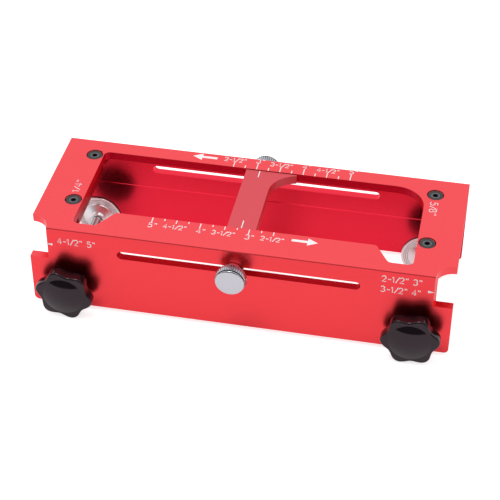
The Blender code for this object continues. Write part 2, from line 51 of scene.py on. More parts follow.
def satin_metal():
    """Colour, roughness and fine drawn lines of a metal skin, from a place on it."""
    group = bpy.data.node_groups.new("satin_metal", "ShaderNodeTree")
    sockets = group.interface
    sockets.new_socket("Place", in_out="INPUT", socket_type="NodeSocketVector")
    for name, value in (("Light colour", (1, 1, 1, 1)), ("Deep colour", (0.5, 0.5, 0.5, 1))):
        made = sockets.new_socket(name, in_out="INPUT", socket_type="NodeSocketColor")
        made.default_value = value
    for name, value in (("Smoothest", 0.3), ("Roughest", 0.4), ("Cloud scale", 40.0), ("Grain scale", 900.0)):
        made = sockets.new_socket(name, in_out="INPUT", socket_type="NodeSocketFloat")
        made.default_value = value
    sockets.new_socket("Colour", in_out="OUTPUT", socket_type="NodeSocketColor")
    sockets.new_socket("Roughness", in_out="OUTPUT", socket_type="NodeSocketFloat")
    sockets.new_socket("Height", in_out="OUTPUT", socket_type="NodeSocketFloat")
    nodes, links = group.nodes, group.links
    given = nodes.new("NodeGroupInput")
    out = nodes.new("NodeGroupOutput")
    cloud = nodes.new("ShaderNodeTexNoise")
    cloud.inputs["Detail"].default_value = 3
    grain = nodes.new("ShaderNodeTexNoise")
    grain.inputs["Detail"].default_value = 4
    grain.inputs["Roughness"].default_value = 0.6
    tint = nodes.new("ShaderNodeMix")
    tint.data_type = "RGBA"
    both = nodes.new("ShaderNodeMath")
    both.operation = "MULTIPLY_ADD"
    both.inputs[1].default_value = 0.5
    rough = nodes.new("ShaderNodeMapRange")
    rough.inputs["From Min"].default_value = 0.3
    rough.inputs["From Max"].default_value = 0.7
    half = nodes.new("ShaderNodeMath")
    half.operation = "MULTIPLY"
    half.inputs[1].default_value = 0.5
    links.new(given.outputs["Place"], cloud.inputs["Vector"])
    links.new(given.outputs["Cloud scale"], cloud.inputs["Scale"])
    links.new(given.outputs["Place"], grain.inputs["Vector"])
    links.new(given.outputs["Grain scale"], grain.inputs["Scale"])
    links.new(cloud.outputs["Fac"], half.inputs[0])
    links.new(grain.outputs["Fac"], both.inputs[0])
    links.new(half.outputs["Value"], both.inputs[2])
    links.new(both.outputs["Value"], rough.inputs["Value"])
    links.new(given.outputs["Smoothest"], rough.inputs["To Min"])
    links.new(given.outputs["Roughest"], rough.inputs["To Max"])
    links.new(both.outputs["Value"], tint.inputs["Factor"])
    links.new(given.outputs["Deep colour"], tint.inputs["A"])
    links.new(given.outputs["Light colour"], tint.inputs["B"])
    links.new(tint.outputs["Result"], out.inputs["Colour"])
    links.new(rough.outputs["Result"], out.inputs["Roughness"])
    links.new(grain.outputs["Fac"], out.inputs["Height"])
    return group


satin = satin_metal()


def metal(
    name, light, deep, smoothest, roughest, stretch=(1, 1, 1), cloud=40, grain=900, depth=0.01, share=0.1,
):
    """A metal whose grain is stretched along the piece the way it was drawn, turned or etched."""
    made = bpy.data.materials.new(name)
    made.use_nodes = True
    nodes, links = made.node_tree.nodes, made.node_tree.links
    shader = nodes["Principled BSDF"]
    shader.inputs["Metallic"].default_value = 1
    places = nodes.new("ShaderNodeTexCoord")
    mapping = nodes.new("ShaderNodeMapping")
    mapping.inputs["Scale"].default_value = stretch
    skin = nodes.new("ShaderNodeGroup")
    skin.node_tree = satin
    skin.inputs["Light colour"].default_value = (*light, 1)
    skin.inputs["Deep colour"].default_value = (*deep, 1)
    skin.inputs["Smoothest"].default_value = smoothest
    skin.inputs["Roughest"].default_value = roughest
    skin.inputs["Cloud scale"].default_value = cloud
    skin.inputs["Grain scale"].default_value = grain
    bump = nodes.new("ShaderNodeBump")
    bump.inputs["Distance"].default_value = depth * MM
    bump.inputs["Strength"].default_value = share
    links.new(places.outputs["Object"], mapping.inputs["Vector"])
    links.new(mapping.outputs["Vector"], skin.inputs["Place"])
    links.new(skin.outputs["Colour"], shader.inputs["Base Color"])
    links.new(skin.outputs["Roughness"], shader.inputs["Roughness"])
    links.new(skin.outputs["Height"], bump.inputs["Height"])
    links.new(bump.outputs["Normal"], shader.inputs["Normal"])
    return made


def put_in_scene(name, mesh, finish=None):
    """An object at the origin with a mesh, in one finish."""
    made = bpy.data.objects.new(name, mesh)
    bpy.context.scene.collection.objects.link(made)
    if finish:
        mesh.materials.clear()
        mesh.materials.append(finish)
    return made


def whole_copy(node, name, finish, sharp=32):
    """A node's mesh with its loose triangles joined, so that its rounds shade smoothly."""
    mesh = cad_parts[node].data.copy()
    mesh.name = name
    if "custom_normal" in mesh.attributes:
        mesh.attributes.remove(mesh.attributes["custom_normal"])
    work = bmesh.new()
    work.from_mesh(mesh)
    bmesh.ops.remove_doubles(work, verts=work.verts, dist=1e-6)
    work.to_mesh(mesh)
    work.free()
    mesh.shade_smooth()
    mesh.set_sharp_from_angle(angle=math.radians(sharp))
    return put_in_scene(name, mesh, finish)


def anodised(name, light, deep, smoothest, roughest):
    """The dyed skin of the aluminium, its grain drawn out along the extrusion."""
    return metal(
        name, light, deep, smoothest, roughest, stretch=(0.2, 1, 1), cloud=30, grain=1600, depth=0.003,
        share=0.05,
    )


# Copies of the one red skin: the top's lighter copy is painted light, and the walls' deeper copy and the
# darker copies inside and on the cut sides are painted shade.
anodised_top = anodised("anodised_top", (0.93, 0.092, 0.106), (0.905, 0.078, 0.094), 0.24, 0.30)
anodised_wall = anodised("anodised_wall", (0.95, 0.070, 0.084), (0.93, 0.056, 0.070), 0.27, 0.32)
anodised_cut = anodised("anodised_cut", (0.62, 0.010, 0.036), (0.56, 0.006, 0.028), 0.3, 0.4)
# The darkest copy, for the broken edges and the door stops, is painted shade: a painted dark line on the
# edges.
anodised_edge = anodised("anodised_edge", (0.40, 0.030, 0.036), (0.36, 0.024, 0.030), 0.3, 0.4)
# The lighter copy round the countersinks is a painted glint.
anodised_rim = anodised("anodised_rim", (0.98, 0.18, 0.16), (0.95, 0.14, 0.13), 0.2, 0.3)
anodised_inside = anodised("anodised_inside", (0.93, 0.032, 0.068), (0.89, 0.022, 0.054), 0.26, 0.31)
plate_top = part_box("channel_body")[1].z
front_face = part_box("channel_body")[0].y
channel_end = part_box("channel_body")[1].x
screw_places = [sum(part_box(f"stop_screw_{number}"), Vector()).xy / 2 for number in range(1, 5)]
SKIN = 0.1 * MM
CUT_REACH = 4.4 * MM
BROKEN_REACH = 0.39 * MM
NOTCH_X = 100 * MM
NOTCH_Y = -30 * MM
LAND_INSET = 4.8 * MM
LAND_DEPTH = 24.2 * MM
LAND_SLOPE = 0.3 * MM
HOLE_RIM = 4.6 * MM
FLARED_RIM = 4.55 * MM
RIM_REACH = 4.7 * MM


def skin_of(face):
    """Which copy of the red skin a face takes, by where it lies: lighter on the top and the notches' upper
    faces as painted light; deeper on the walls, darker inside and on the cut sides of the window and front
    slot, and darkest on broken edges as painted shade; lighter round the countersinks as a painted glint.
    """
    x, y, z = face.center
    in_notch = abs(x) > NOTCH_X and y < NOTCH_Y
    within = abs(x) < channel_end - SKIN and abs(y) < -front_face - SKIN and z < plate_top - SKIN
    window_side = z > plate_top - CUT_REACH and abs(face.normal.z) < 0.3
    front_slot_side = -front_face - CUT_REACH < -y and abs(face.normal.y) < 0.3
    if within and min((face.center.xy - place).length for place in screw_places) < RIM_REACH:
        return anodised_rim
    if z > plate_top - BROKEN_REACH and 0.5 < face.normal.z < 0.9:
        return anodised_edge
    if within and not in_notch:
        return anodised_cut if window_side or front_slot_side else anodised_inside
    if face.normal.z >= 0.7 or (in_notch and z > plate_top - CUT_REACH):
        return anodised_top
    return anodised_wall


def break_land_edge(mesh):
    """The land's upper edge is broken to a slope by the die, and catches a thin line of light."""
    land_y = -front_face - LAND_INSET
    land_top = plate_top - LAND_DEPTH
    for point in mesh.vertices:
        if abs(abs(point.co.y) - land_y) < 0.03 * MM and abs(point.co.z - land_top) < 0.03 * MM:
            point.co.z -= LAND_SLOPE


def flare_countersinks(mesh):
    """The countersinks open a little wider than the screw heads, so that a lit rim shows round them."""
    for place in screw_places:
        for point in mesh.vertices:
            away = point.co.xy - place
            if away.length < HOLE_RIM and point.co.z > plate_top - 0.01 * MM:
                point.co.xy = place + away.normalized() * FLARED_RIM


channel = whole_copy("channel_body", "channel", anodised_top)
break_land_edge(channel.data)
flare_countersinks(channel.data)
skins = [anodised_top, anodised_wall, anodised_inside, anodised_edge, anodised_cut, anodised_rim]
for finish in skins[1:]:
    channel.data.materials.append(finish)
for face in channel.data.polygons:
    face.material_index = skins.index(skin_of(face))
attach(channel, "channel")
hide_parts("channel_body")


# Scales, figures, arrows and pointers: marks burnt white into the red skin with a laser.
# They stand for inches of hinge, for the router's corner radius and for the depth notches.
def ink():
    """The white that a laser leaves, with fine specks of the red."""
    made = bpy.data.materials.new("marked_white")
    made.use_nodes = True
    nodes, links = made.node_tree.nodes, made.node_tree.links
    shader = nodes["Principled BSDF"]
    shader.inputs["Roughness"].default_value = 0.6
    places = nodes.new("ShaderNodeTexCoord")
    specks = nodes.new("ShaderNodeTexNoise")
    specks.inputs["Scale"].default_value = 2600
    ramp = nodes.new("ShaderNodeValToRGB")
    ramp.color_ramp.elements[0].position = 0.3
    ramp.color_ramp.elements[0].color = (0.86, 0.74, 0.76, 1)
    ramp.color_ramp.elements[1].position = 0.6
    ramp.color_ramp.elements[1].color = (0.98, 0.96, 0.97, 1)
    links.new(places.outputs["Object"], specks.inputs["Vector"])
    links.new(specks.outputs["Fac"], ramp.inputs["Fac"])
    links.new(ramp.outputs["Color"], shader.inputs["Base Color"])
    return made


marked_white = ink()
MARK_DEPTH = 0.02 * MM


def tree_with(name, inputs):
    """A Geometry Nodes tree with named inputs, and the nodes at its two ends."""
    tree = bpy.data.node_groups.new(name, "GeometryNodeTree")
    tree.interface.new_socket("Geometry", in_out="INPUT", socket_type="NodeSocketGeometry")
    for label, kind, value in inputs:
        made = tree.interface.new_socket(label, in_out="INPUT", socket_type="NodeSocket" + kind)
        if value is not None:
            made.default_value = value
    tree.interface.new_socket("Geometry", in_out="OUTPUT", socket_type="NodeSocketGeometry")
    given = tree.nodes.new("NodeGroupInput")
    real = tree.nodes.new("GeometryNodeRealizeInstances")
    finish = tree.nodes.new("GeometryNodeSetMaterial")
    out = tree.nodes.new("NodeGroupOutput")
    tree.links.new(real.outputs[0], finish.inputs["Geometry"])
    tree.links.new(given.outputs["Finish"], finish.inputs["Material"])
    tree.links.new(finish.outputs[0], out.inputs[0])
    return tree, given, real.inputs[0]


def maths(tree, operation, first, second=None, third=None):
    """A math node whose inputs are sockets or plain numbers; gives its result."""
    made = tree.nodes.new("ShaderNodeMath")
    made.operation = operation
    for slot, value in zip(made.inputs, (first, second, third)):
        if isinstance(value, bpy.types.NodeSocket):
            tree.links.new(value, slot)
        elif value is not None:
            slot.default_value = value
    return made.outputs[0]


def grown(name, mesh, tree, **values):
    """The plain mesh that a tree makes from a starting mesh, with the modifier gone."""
    piece = put_in_scene(name, mesh)
    modifier = piece.modifiers.new(tree.name, "NODES")
    modifier.node_group = tree
    for item in tree.interface.items_tree:
        key = item.name.lower().replace(" ", "_")
        if item.in_out == "INPUT" and key in values:
            modifier[item.identifier] = values[key]
    bpy.context.view_layer.update()
    graph = bpy.context.evaluated_depsgraph_get()
    made = bpy.data.meshes.new_from_object(piece.evaluated_get(graph))
    piece.modifiers.clear()
    piece.data = made
    made.name = name
    return piece


def scale_ticks():
    """Ticks a quarter inch apart, the whole inches' the longest and the quarters' the shortest."""
    tree, given, end = tree_with("scale_ticks", [
        ("Start", "Vector", (0, 0, 0)), ("Direction", "Float", 1.0), ("Count", "Int", 11),
        ("First", "Int", 0), ("Whole", "Float", 0.0), ("Half", "Float", 0.0), ("Quarter", "Float", 0.0),
        ("Width", "Float", 0.0), ("Depth", "Float", 0.0), ("Finish", "Material", None),
    ])
    line = tree.nodes.new("GeometryNodeMeshLine")
    line.mode = "OFFSET"
    line.inputs["Offset"].default_value = (QUARTER_INCH, 0, 0)
    tree.links.new(given.outputs["Count"], line.inputs["Count"])
    tree.links.new(given.outputs["Start"], line.inputs["Start Location"])
    block = tree.nodes.new("GeometryNodeMeshCube")
    lift = tree.nodes.new("GeometryNodeTransform")
    lift.inputs["Translation"].default_value = (0, 0.5, 0)
    tree.links.new(block.outputs["Mesh"], lift.inputs["Geometry"])
    index = tree.nodes.new("GeometryNodeInputIndex")
    step = maths(tree, "MODULO", maths(tree, "ADD", index.outputs[0], given.outputs["First"]), 4.0)
    whole = maths(tree, "COMPARE", step, 0.0, 0.1)
    half = maths(tree, "COMPARE", step, 2.0, 0.1)
    odd = maths(tree, "SUBTRACT", 1.0, maths(tree, "ADD", whole, half))
    whole_length = maths(tree, "MULTIPLY", whole, given.outputs["Whole"])
    half_length = maths(tree, "MULTIPLY", half, given.outputs["Half"])
    odd_length = maths(tree, "MULTIPLY", odd, given.outputs["Quarter"])
    length = maths(tree, "ADD", whole_length, maths(tree, "ADD", half_length, odd_length))
    size = tree.nodes.new("ShaderNodeCombineXYZ")
    tree.links.new(given.outputs["Width"], size.inputs["X"])
    tree.links.new(maths(tree, "MULTIPLY", length, given.outputs["Direction"]), size.inputs["Y"])
    tree.links.new(given.outputs["Depth"], size.inputs["Z"])
    ticks = tree.nodes.new("GeometryNodeInstanceOnPoints")
    tree.links.new(line.outputs["Mesh"], ticks.inputs["Points"])
    tree.links.new(lift.outputs["Geometry"], ticks.inputs["Instance"])
    tree.links.new(size.outputs[0], ticks.inputs["Scale"])
    tree.links.new(ticks.outputs["Instances"], end)
    return tree


def outward(mesh):
    """Turns a closed mesh's faces outwards."""
    work = bmesh.new()
    work.from_mesh(mesh)
    bmesh.ops.recalc_face_normals(work, faces=work.faces)
    work.to_mesh(mesh)
    work.free()


QUARTER_INCH = 6.35 * MM
HALF_INCH = 12.7 * MM
TICK_WIDTH = 0.5 * MM
FRONT_TICKS_X = -48.02 * MM
FRONT_TICKS_Y = -21.15 * MM
BACK_TICKS_X = -16.65 * MM
BACK_TICKS_Y = 30.95 * MM
ticks_tree = scale_ticks()
front_scale = grown(
    "front_scale", bpy.data.meshes.new("front_scale"), ticks_tree,
    start=(FRONT_TICKS_X, FRONT_TICKS_Y, plate_top), direction=-1.0, first=0, whole=4.2 * MM, half=2.8 * MM,
    quarter=1.5 * MM, width=TICK_WIDTH, depth=2 * MARK_DEPTH, finish=marked_white,
)
back_scale = grown(
    "back_scale", bpy.data.meshes.new("back_scale"), ticks_tree,
    start=(BACK_TICKS_X, BACK_TICKS_Y, plate_top), direction=1.0, first=2, whole=5.4 * MM, half=4.4 * MM,
    quarter=2.4 * MM, width=TICK_WIDTH, depth=2 * MARK_DEPTH, finish=marked_white,
)


def ring(x, y, wide, tall, start, end, steps=10):
    """Points of an oval arc in a figure, its angles in degrees."""
    angles = [math.radians(start + (end - start) * i / steps) for i in range(steps + 1)]
    return [(x + wide * math.cos(a), y + tall * math.sin(a)) for a in angles]


# Each figure is drawn in strokes in a cell 0.6 wide and 1 tall.
FIGURES = {
    "1": [[(0.12, 0.8), (0.32, 1), (0.32, 0)]],
    "2": [ring(0.3, 0.72, 0.28, 0.28, 170, -30) + [(0.02, 0), (0.6, 0)]],
    "3": [ring(0.28, 0.75, 0.26, 0.25, 160, -90, 8) + ring(0.28, 0.26, 0.3, 0.26, 90, -160)],
    "4": [[(0.44, 0), (0.44, 1), (0, 0.28), (0.62, 0.28)]],
    "5": [[(0.54, 1), (0.1, 1), (0.06, 0.56)] + ring(0.28, 0.32, 0.3, 0.32, 125, -150)],
    "8": [ring(0.3, 0.76, 0.23, 0.24, 0, 360, 14), ring(0.3, 0.26, 0.29, 0.26, 0, 360, 14)],
    "-": [[(0.08, 0.46), (0.52, 0.46)]],
    "/": [[(0.04, -0.04), (0.56, 1.04)]],
    '"': [[(0.14, 1.02), (0.14, 0.74)], [(0.36, 1.02), (0.36, 0.74)]],
}
FIGURE_STEP = 0.76
NARROW_STEPS = {"1": 0.56, "-": 0.56, "/": 0.6, '"': 0.5}


def marked_strokes():
    """Strokes drawn as edges, each given a width and a thin depth."""
    tree, given, end = tree_with("marked_strokes", [
        ("Width", "Float", 0.0), ("Depth", "Float", 0.0), ("Finish", "Material", None)])
    curves = tree.nodes.new("GeometryNodeMeshToCurve")
    upright = tree.nodes.new("GeometryNodeSetCurveNormal")
    upright.mode = "Z_UP"
    section = tree.nodes.new("GeometryNodeCurvePrimitiveQuadrilateral")
    ribbon = tree.nodes.new("GeometryNodeCurveToMesh")
    ribbon.inputs["Fill Caps"].default_value = True
    tree.links.new(given.outputs["Geometry"], curves.inputs["Mesh"])
    tree.links.new(curves.outputs["Curve"], upright.inputs["Curve"])
    tree.links.new(upright.outputs["Curve"], ribbon.inputs["Curve"])
    tree.links.new(given.outputs["Width"], section.inputs["Width"])
    tree.links.new(given.outputs["Depth"], section.inputs["Height"])
    tree.links.new(section.outputs["Curve"], ribbon.inputs["Profile Curve"])
    tree.links.new(ribbon.outputs["Mesh"], end)
    return tree


def strokes_mesh(name, writing, height, spread):
    """A flat mesh of edges for a line of figures, from its lower left corner."""
    points, edges = [], []
    place = 0
    for figure in writing:
        for stroke in FIGURES[figure]:
            first = len(points)
            points += [((x + place) * spread * height, y * height, 0) for x, y in stroke]
            edges += [(first + i, first + i + 1) for i in range(len(stroke) - 1)]
        place += NARROW_STEPS.get(figure, FIGURE_STEP)
    mesh = bpy.data.meshes.new(name)
    mesh.from_pydata(points, edges, [])
    return mesh


def figures_row(name, writing, height, placed, spread=1, stroke=0.48):
    """A finished row of figures, lying in the marked face."""
    piece = grown(
        name, strokes_mesh(name, writing, height, spread), strokes_tree, width=stroke * MM,
        depth=2 * MARK_DEPTH, finish=marked_white,
    )
    piece.data.transform(placed)
    outward(piece.data)
    return piece


def flat_sign(name, outline, placed):
    """An outline filled and given the marks' depth, such as an arrow or a pointer."""
    work = bmesh.new()
    face = work.faces.new([work.verts.new((x, y, -MARK_DEPTH)) for x, y in outline])
    pulled = bmesh.ops.extrude_face_region(work, geom=[face])
    top = [part for part in pulled["geom"] if isinstance(part, bmesh.types.BMVert)]
    bmesh.ops.translate(work, vec=(0, 0, 2 * MARK_DEPTH), verts=top)
    bmesh.ops.recalc_face_normals(work, faces=work.faces)
    bmesh.ops.transform(work, matrix=placed, verts=work.verts)
    mesh = bpy.data.meshes.new(name)
    work.to_mesh(mesh)
    work.free()
    return put_in_scene(name, mesh, marked_white)


def joined(name, pieces):
    """Several pieces of marks made one."""
    work = bmesh.new()
    for piece in pieces:
        work.from_mesh(piece.data)
        bpy.data.objects.remove(piece, do_unlink=True)
    mesh = bpy.data.meshes.new(name)
    work.to_mesh(mesh)
    work.free()
    return put_in_scene(name, mesh, marked_white)


strokes_tree = marked_strokes()
ON_PLATE = Matrix.Translation((0, 0, plate_top))
ON_WALL = Matrix.Translation((0, front_face, 0)) @ Matrix.Rotation(math.radians(90), 4, "X")
QUARTER_TURN = Matrix.Rotation(math.radians(90), 4, "Z")
HALF_TURN = QUARTER_TURN @ QUARTER_TURN
SMALL_FIGURES = 3.25 * MM
WALL_FIGURES = 3.6 * MM
rows = []
for number, inches in enumerate(("5", "4-1/2", "4", "3-1/2", "3", "2-1/2")):
    whole = len(inches) == 1
    half_width = 0.3 * SMALL_FIGURES + 0.2 * MM if whole else 6.0 * MM
    height = SMALL_FIGURES * (1.12 if whole else 1)
    for name, start, first, step, base, shift in (
        ("front", FRONT_TICKS_X, 0, 1, -28.5, -0.7), ("back", BACK_TICKS_X, 5, -1, 35.5, 1.2),
    ):
        x = start + HALF_INCH * (first + step * number)
        y = (base + (shift if whole else 0)) * MM
        corner = Matrix.Translation((x - half_width, y, 0))
        rows.append(figures_row(f"{name}_{number}", inches + '"', height, ON_PLATE @ corner))
for name, writing, height, x, y, turn, spread, stroke in (
    ("router_radius_left", '1/4"', 3.5, -92.2, -8.2, QUARTER_TURN, 1.34, 0.42),
    ("router_radius_right", '5/8"', 3.9, 91.1, 20.4, QUARTER_TURN.inverted(), 1.12, 0.4),
):
    placed = ON_PLATE @ Matrix.Translation((x * MM, y * MM, 0)) @ turn
    rows.append(figures_row(name, writing, height * MM, placed, spread, stroke))
for number, (writing, x, z) in enumerate((
    ('4-1/2"', -94.4, 42.0), ('5"', -78.6, 42.0),
    ('2-1/2"', 73.6, 44.6), ('3"', 89.3, 44.6), ('3-1/2"', 73.4, 37.9), ('4"', 89.0, 37.9),
)):
    placed = ON_WALL @ Matrix.Translation((x * MM, z * MM, 0))
    rows.append(figures_row(f"wall_{number}", writing, WALL_FIGURES, placed))
ARROW = [(0, -0.9), (8.2, -0.9), (8.2, -2.9), (13.5, 0), (8.2, 2.9), (8.2, 0.9), (0, 0.9)]
POINTER = [(0, -0.85), (3.4, 0), (0, 0.85)]
for name, outline, face, x, y, turn in (
    ("arrow_front", ARROW, ON_PLATE, 25.3, -25.4, Matrix()),
    ("arrow_back", ARROW, ON_PLATE, -26.6, 36.6, HALF_TURN),
    ("pointer_right", POINTER, ON_WALL, 96.9, 41.4, Matrix()),
    ("pointer_left", POINTER, ON_WALL, -97.2, 40.9, HALF_TURN),
):
    placed = face @ Matrix.Translation((x * MM, y * MM, 0)) @ turn
    rows.append(flat_sign(name, [(along * MM, across * MM) for along, across in outline], placed))
channel_marks = joined("channel_marks", [front_scale, back_scale, *rows])
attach(channel_marks, "channel")


# Door stops: two aluminium bars in the channel's red, screwed up under the plate and given the darkest copy
# of the red skin as painted shade. Their lower faces rest on the door's edge, and the inner lower edge is
# chamfered.
for side in ("left", "right"):
    stop = whole_copy(f"door_stop_{side}", f"door_stop_bar_{side}", anodised_edge)
    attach(stop, "channel")
    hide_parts(f"door_stop_{side}")


# Stop screws: countersunk socket screws of steel with a black oxide skin, with a thin ring round
# the socket whose lighter colour is a painted highlight.
def lathe(name, profile, segments):
    """A closed mesh turned about Z from (radius, height) pairs in mm, from the top down."""
    work = bmesh.new()
    rings = []
    turns = [2 * math.pi * i / segments for i in range(segments)]
    for radius, height in profile:
        if radius == 0:
            rings.append([work.verts.new((0, 0, height * MM))])
            continue
        rings.append([
            work.verts.new((radius * MM * math.cos(turn), radius * MM * math.sin(turn), height * MM))
            for turn in turns
        ])
    for upper, lower in zip(rings, rings[1:]):
        for i in range(segments):
            j = (i + 1) % segments
            corners = list(dict.fromkeys((
                upper[i % len(upper)], upper[j % len(upper)], lower[j % len(lower)], lower[i % len(lower)])))
            if len(corners) > 2:
                work.faces.new(corners)
    bmesh.ops.remove_doubles(work, verts=work.verts, dist=1e-7)
    bmesh.ops.recalc_face_normals(work, faces=work.faces)
    mesh = bpy.data.meshes.new(name)
    work.to_mesh(mesh)
    work.free()
    return mesh


black_oxide = metal(
    "black_oxide", (0.085, 0.085, 0.09), (0.045, 0.045, 0.05), 0.32, 0.45, cloud=300, grain=3000,
    depth=0.004,
)
# A lighter oxide for the ring round each socket: a painted highlight.
worn_oxide = metal(
    "worn_oxide", (0.20, 0.20, 0.22), (0.14, 0.14, 0.15), 0.25, 0.35, cloud=300, grain=3000, depth=0.004,
)
worn_ring = [(1.75, 0.0), (1.9, 0.02), (2.2, 0.02), (2.3, 0.0), (2.3, -0.1), (1.75, -0.1), (1.75, 0.0)]
for number, place in enumerate(screw_places, 1):
    screw = whole_copy(f"stop_screw_{number}", f"stop_socket_screw_{number}", black_oxide)
    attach(screw, "channel")
    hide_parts(f"stop_screw_{number}")
    head_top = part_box(f"stop_screw_{number}")[1].z
    painted_ring = put_in_scene(f"worn_ring_{number}", lathe("worn_ring", worn_ring, 48), worn_oxide)
    painted_ring.data.transform(Matrix.Translation((place.x, place.y, head_top)))
    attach(painted_ring, "channel")


# Sliding stop: a T milled from aluminium plate, one side sweeping out in the router's radius.
# Its top was blasted before it was dyed, so it is duller than the channel.
blasted_red = metal(
    "blasted_red", (0.72, 0.105, 0.125), (0.66, 0.085, 0.105), 0.42, 0.52, stretch=(1, 0.3, 1),
    cloud=60, grain=2500, depth=0.01, share=0.2,
)
slide = whole_copy("sliding_stop", "sliding_stop_plate", blasted_red)
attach(slide, "slide")
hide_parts("sliding_stop")

ON_SLIDE = Matrix.Translation((0, 0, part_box("sliding_stop")[1].z))
INDEX_X = -1.8 * MM
index_lines = []
for number, (start, length) in enumerate(((-20.4, 6.3), (24.6, 5.6))):
    left, right = INDEX_X - TICK_WIDTH / 2, INDEX_X + TICK_WIDTH / 2
    near, far = start * MM, (start + length) * MM
    outline = [(left, near), (right, near), (right, far), (left, far)]
    index_lines.append(flat_sign(f"index_{number}", outline, ON_SLIDE))
index_marks = joined("index_marks", index_lines)
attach(index_marks, "slide")


# Thumb screws: turned from steel and nickel plated, with a straight knurl, a raised face and a
# groove round it. The groove and the knurl's valleys are darkened as painted shade. Each runs
# through a wall's slot into the sliding stop and locks it.
def smooth(piece, sharp=35):
    """Shades a piece smooth between its edges that are sharper than an angle."""
    piece.data.shade_smooth()
    piece.data.set_sharp_from_angle(angle=math.radians(sharp))
    return piece


def stood(mesh, place, out):
    """Turns a mesh's +Z axis to point out, and puts its origin at a place."""
    turn = Vector((0, 0, 1)).rotation_difference(Vector(out)).to_matrix().to_4x4()
    mesh.transform(Matrix.Translation(place) @ turn)
    return mesh


def round_axis(tree):
    """A point's place, its radius from Z, and its turn about Z in full turns."""
    place = tree.nodes.new("GeometryNodeInputPosition")
    parts = tree.nodes.new("ShaderNodeSeparateXYZ")
    tree.links.new(place.outputs[0], parts.inputs[0])
    x, y, z = (parts.outputs[axis] for axis in "XYZ")
    squares = maths(tree, "ADD", maths(tree, "MULTIPLY", x, x), maths(tree, "MULTIPLY", y, y))
    turn = maths(tree, "DIVIDE", maths(tree, "ARCTAN2", y, x), 2 * math.pi)
    return (x, y, z), maths(tree, "SQRT", squares), turn


def cut_in(tree, geometry, place, radius, depth):
    """Moves each point of a turned blank in towards Z by a depth."""
    left = maths(tree, "SUBTRACT", radius, depth)
    share = maths(tree, "DIVIDE", left, maths(tree, "MAXIMUM", radius, 1e-6))
    moved = tree.nodes.new("ShaderNodeCombineXYZ")
    tree.links.new(maths(tree, "MULTIPLY", place[0], share), moved.inputs["X"])
    tree.links.new(maths(tree, "MULTIPLY", place[1], share), moved.inputs["Y"])
    tree.links.new(place[2], moved.inputs["Z"])
    cut = tree.nodes.new("GeometryNodeSetPosition")
    tree.links.new(geometry, cut.inputs["Geometry"])
    tree.links.new(moved.outputs[0], cut.inputs["Position"])
    return cut.outputs["Geometry"]


def straight_knurl():
    """Cuts V-shaped teeth round the part of a turned blank that lies past a radius."""
    tree, given, end = tree_with("straight_knurl", [
        ("Teeth", "Int", 40), ("Past radius", "Float", 0.0), ("Depth", "Float", 0.0),
        ("Finish", "Material", None),
    ])
    place, radius, turn = round_axis(tree)
    tooth = maths(tree, "MULTIPLY", turn, given.outputs["Teeth"])
    valley = maths(tree, "MULTIPLY", maths(tree, "PINGPONG", tooth, 0.5), 2.0)
    past = maths(tree, "GREATER_THAN", radius, given.outputs["Past radius"])
    depth = maths(tree, "MULTIPLY", maths(tree, "MULTIPLY", valley, given.outputs["Depth"]), past)
    tree.links.new(cut_in(tree, given.outputs["Geometry"], place, radius, depth), end)
    return tree


def screw_thread():
    """Cuts a helical thread in a plain rod along Z, to a depth and a pitch, between two heights."""
    tree, given, end = tree_with("screw_thread", [
        ("Pitch", "Float", 0.0), ("Depth", "Float", 0.0), ("Lower end", "Float", 0.0),
        ("Upper end", "Float", 0.0), ("Finish", "Material", None),
    ])
    place, radius, turn = round_axis(tree)
    climb = maths(tree, "SUBTRACT", maths(tree, "DIVIDE", place[2], given.outputs["Pitch"]), turn)
    flank = maths(tree, "MULTIPLY", maths(tree, "PINGPONG", climb, 0.5), 2.0)
    steep = maths(tree, "MULTIPLY_ADD", flank, 1.35, -0.175)
    flat = maths(tree, "MINIMUM", maths(tree, "MAXIMUM", steep, 0.0), 1.0)
    above = maths(tree, "GREATER_THAN", place[2], given.outputs["Lower end"])
    below = maths(tree, "LESS_THAN", place[2], given.outputs["Upper end"])
    inside = maths(tree, "MULTIPLY", above, below)
    depth = maths(tree, "MULTIPLY", maths(tree, "MULTIPLY", flat, given.outputs["Depth"]), inside)
    tree.links.new(cut_in(tree, given.outputs["Geometry"], place, radius, depth), end)
    return tree


bright_nickel = metal(
    "bright_nickel", (0.62, 0.62, 0.68), (0.55, 0.55, 0.60), 0.10, 0.2, cloud=200, grain=1500, depth=0.004,
)
# Darker metals for the groove round the face and for the knurl's valleys: painted shade.
groove_grime = metal("groove_grime", (0.04, 0.035, 0.035), (0.02, 0.018, 0.018), 0.5, 0.6)
valley_painted_shade = metal("knurl_valley", (0.40, 0.40, 0.44), (0.32, 0.32, 0.36), 0.3, 0.4)
knurl_tree = straight_knurl()
thread_tree = screw_thread()
THUMB_TEETH = 40
THREAD_END = -13.8
GROOVE_FLOOR = 9.2 * MM
GROOVE_TOP = 9.91 * MM
GROOVE_REACH = 7.49 * MM
KNURL_FOOT = 4.9 * MM
KNURL_TOP = 9.19 * MM
VALLEY_RADIUS = 7.2 * MM
FLANK_RADIUS = 7.62 * MM
